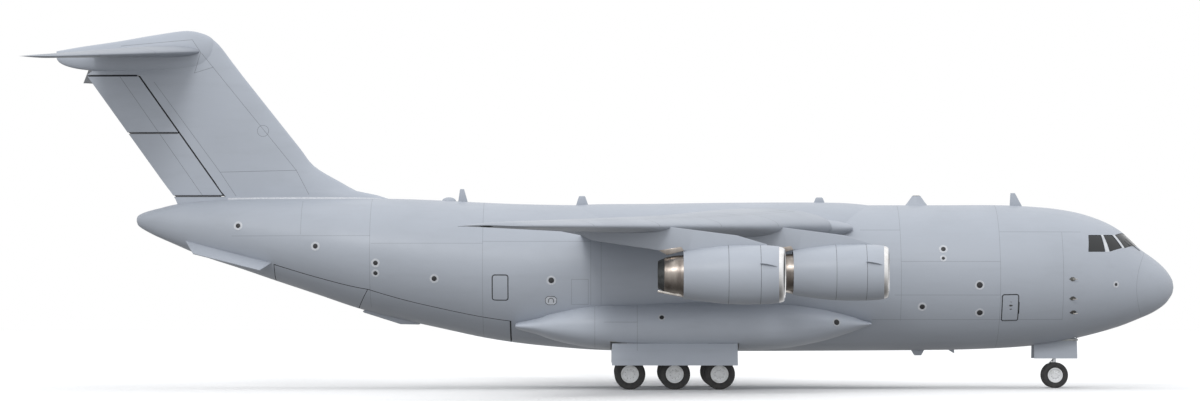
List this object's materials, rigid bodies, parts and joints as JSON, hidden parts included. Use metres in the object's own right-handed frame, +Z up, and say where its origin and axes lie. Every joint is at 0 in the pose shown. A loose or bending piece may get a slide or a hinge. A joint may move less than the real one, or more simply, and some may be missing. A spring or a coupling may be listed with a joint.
{
  "type": "military transport plane, 1:2 scale model",
  "caption": "High-wing, T-tailed freighter with underslung jet engines, hollow hold, opening ramp and doors, moving control surfaces, on its wheels.",
  "frame": {"origin": "on the ground, under the middle of the whole aeroplane", "axes": "+X to the nose, +Y to the port wing tip, +Z up"},
  "size_m": [23.5, 25, 7.487],
  "materials": {
    "grey_paint": "semi-matte light blue-grey paint on aluminium skin",
    "radome_paint": "semi-matte grey paint on a composite nose",
    "engine_metal": "bare heat-tinted metal",
    "fan_titanium": "satin titanium blades",
    "gear_paint": "gloss white paint on steel",
    "tyre_rubber": "matte black rubber",
    "dark_interior": "matte dark grey",
    "cockpit_glass": "dark tinted glass"
  },
  "bodies": {
    "airframe": {"radome": "radome_paint", "forward_fuselage": "grey_paint", "centre_fuselage": "grey_paint", "rear_fuselage": "grey_paint", "cockpit_glazing": "cockpit_glass", "cockpit_interior": "dark_interior", "cargo_floor": "dark_interior", "wing_fairing": "grey_paint", "wing_right": "grey_paint", "wing_left": "grey_paint", "flap_right": "grey_paint", "flap_left": "grey_paint", "sponson_right": "grey_paint", "sponson_left": "grey_paint", "main_gear_door_right": "grey_paint", "main_gear_door_left": "grey_paint", "fin": "grey_paint", "tailplane": "grey_paint", "nose_leg": "gear_paint", "nose_gear_door_right": "grey_paint", "nose_gear_door_left": "grey_paint", "main_gear_legs_right": "gear_paint", "main_gear_legs_left": "gear_paint", "pylon_inner_right": "grey_paint", "pylon_inner_left": "grey_paint", "pylon_outer_right": "grey_paint", "pylon_outer_left": "grey_paint", "nacelle_inner_right": "grey_paint", "nacelle_inner_left": "grey_paint", "nacelle_outer_right": "grey_paint", "nacelle_outer_left": "grey_paint", "engine_inner_right": "engine_metal", "engine_inner_left": "engine_metal", "engine_outer_right": "engine_metal", "engine_outer_left": "engine_metal"},
    "aileron_right": {"aileron_right": "grey_paint"},
    "aileron_left": {"aileron_left": "grey_paint"},
    "rudder_lower": {"rudder_lower": "grey_paint"},
    "rudder_upper": {"rudder_upper": "grey_paint"},
    "elevator_right": {"elevator_right": "grey_paint"},
    "elevator_left": {"elevator_left": "grey_paint"},
    "ramp": {"ramp": "grey_paint"},
    "cargo_door": {"cargo_door": "grey_paint"},
    "crew_door": {"crew_door": "grey_paint"},
    "forward_hatch": {"forward_hatch": "grey_paint"},
    "rear_hatch_right": {"rear_hatch_right": "grey_paint"},
    "rear_hatch_left": {"rear_hatch_left": "grey_paint"},
    "nose_fork": {"nose_fork": "gear_paint"},
    "nose_wheels": {"nose_wheels": "tyre_rubber"},
    "fan_inner_right": {"fan_inner_right": "fan_titanium"},
    "fan_inner_left": {"fan_inner_left": "fan_titanium"},
    "fan_outer_right": {"fan_outer_right": "fan_titanium"},
    "fan_outer_left": {"fan_outer_left": "fan_titanium"},
    "main_wheels_right_1": {"main_wheels_right_1": "tyre_rubber"},
    "main_wheels_right_2": {"main_wheels_right_2": "tyre_rubber"},
    "main_wheels_right_3": {"main_wheels_right_3": "tyre_rubber"},
    "main_wheels_left_1": {"main_wheels_left_1": "tyre_rubber"},
    "main_wheels_left_2": {"main_wheels_left_2": "tyre_rubber"},
    "main_wheels_left_3": {"main_wheels_left_3": "tyre_rubber"}
  },
  "joints": [
    {"name": "ramp_hinge", "type": "hinge", "parent": "airframe", "child": "ramp", "pos_m": [-2.12, 0, 0.982], "axis": [0, -1, 0], "range_deg": [0, 28.5]},
    {"name": "cargo_door_hinge", "type": "hinge", "parent": "airframe", "child": "cargo_door", "pos_m": [-7.02, 0, 2.65], "axis": [0, -1, 0], "range_deg": [0, 28]},
    {"name": "crew_door_hinge", "type": "hinge", "parent": "airframe", "child": "crew_door", "pos_m": [8.5, 1.1442, 1.4029], "axis": [-0.997, 0.0727, -0.0251], "range_deg": [0, 110]},
    {"name": "forward_hatch_hinge", "type": "hinge", "parent": "airframe", "child": "forward_hatch", "pos_m": [8.365, -1.3332, 1.6781], "axis": [0, -0.4411, 0.8975], "range_deg": [0, 110]},
    {"name": "rear_hatch_right_hinge", "type": "hinge", "parent": "airframe", "child": "rear_hatch_right", "pos_m": [-2.159, -1.4727, 2.0833], "axis": [0, -0.2352, 0.9719], "range_deg": [0, 110]},
    {"name": "rear_hatch_left_hinge", "type": "hinge", "parent": "airframe", "child": "rear_hatch_left", "pos_m": [-2.159, 1.4727, 2.0833], "axis": [0, -0.2352, -0.9719], "range_deg": [0, 110]},
    {"name": "aileron_right_hinge", "type": "hinge", "parent": "airframe", "child": "aileron_right", "pos_m": [-1.2504, -8.5, 3.2247], "axis": [-0.2923, -0.9563, -0.0117], "range_deg": [-20, 20]},
    {"name": "aileron_left_hinge", "type": "hinge", "parent": "airframe", "child": "aileron_left", "pos_m": [-1.2504, 8.5, 3.2247], "axis": [-0.2923, 0.9563, -0.0117], "range_deg": [-20, 20]},
    {"name": "rudder_lower_hinge", "type": "hinge", "parent": "airframe", "child": "rudder_lower", "pos_m": [-8.1682, 0, 4.032], "axis": [-0.5786, 0, 0.8156], "range_deg": [-25, 25]},
    {"name": "rudder_upper_hinge", "type": "hinge", "parent": "airframe", "child": "rudder_upper", "pos_m": [-9.106, 0, 5.354], "axis": [-0.5786, 0, 0.8156], "range_deg": [-25, 25]},
    {"name": "elevator_right_hinge", "type": "hinge", "parent": "airframe", "child": "elevator_right", "pos_m": [-10.2125, -0.34, 7.0324], "axis": [-0.2689, -0.96, -0.078], "range_deg": [-20, 15]},
    {"name": "elevator_left_hinge", "type": "hinge", "parent": "airframe", "child": "elevator_left", "pos_m": [-10.2125, 0.34, 7.0324], "axis": [-0.2689, 0.96, -0.078], "range_deg": [-15, 20]},
    {"name": "fan_inner_right_spin", "type": "hinge", "parent": "airframe", "child": "fan_inner_right", "pos_m": [5.005, -3.4, 2.395], "axis": [1, 0, 0], "continuous": true},
    {"name": "fan_inner_left_spin", "type": "hinge", "parent": "airframe", "child": "fan_inner_left", "pos_m": [5.005, 3.4, 2.395], "axis": [1, 0, 0], "continuous": true},
    {"name": "fan_outer_right_spin", "type": "hinge", "parent": "airframe", "child": "fan_outer_right", "pos_m": [2.715, -7.6, 2.323], "axis": [1, 0, 0], "continuous": true},
    {"name": "fan_outer_left_spin", "type": "hinge", "parent": "airframe", "child": "fan_outer_left", "pos_m": [2.715, 7.6, 2.323], "axis": [1, 0, 0], "continuous": true},
    {"name": "nose_steering", "type": "hinge", "parent": "airframe", "child": "nose_fork", "pos_m": [9.25, 0, 0.62], "axis": [0, 0, 1], "range_deg": [-60, 60]},
    {"name": "nose_wheels_spin", "type": "hinge", "parent": "nose_fork", "child": "nose_wheels", "pos_m": [9.25, 0, 0.26972], "axis": [0, 1, 0], "continuous": true},
    {"name": "main_wheels_right_1_spin", "type": "hinge", "parent": "airframe", "child": "main_wheels_right_1", "pos_m": [2.19, -1.45, 0.31876], "axis": [0, 1, 0], "continuous": true},
    {"name": "main_wheels_right_2_spin", "type": "hinge", "parent": "airframe", "child": "main_wheels_right_2", "pos_m": [1.27, -1.45, 0.31876], "axis": [0, 1, 0], "continuous": true},
    {"name": "main_wheels_right_3_spin", "type": "hinge", "parent": "airframe", "child": "main_wheels_right_3", "pos_m": [0.35, -1.45, 0.31876], "axis": [0, 1, 0], "continuous": true},
    {"name": "main_wheels_left_1_spin", "type": "hinge", "parent": "airframe", "child": "main_wheels_left_1", "pos_m": [2.19, 1.45, 0.31876], "axis": [0, 1, 0], "continuous": true},
    {"name": "main_wheels_left_2_spin", "type": "hinge", "parent": "airframe", "child": "main_wheels_left_2", "pos_m": [1.27, 1.45, 0.31876], "axis": [0, 1, 0], "continuous": true},
    {"name": "main_wheels_left_3_spin", "type": "hinge", "parent": "airframe", "child": "main_wheels_left_3", "pos_m": [0.35, 1.45, 0.31876], "axis": [0, 1, 0], "continuous": true}
  ]
}
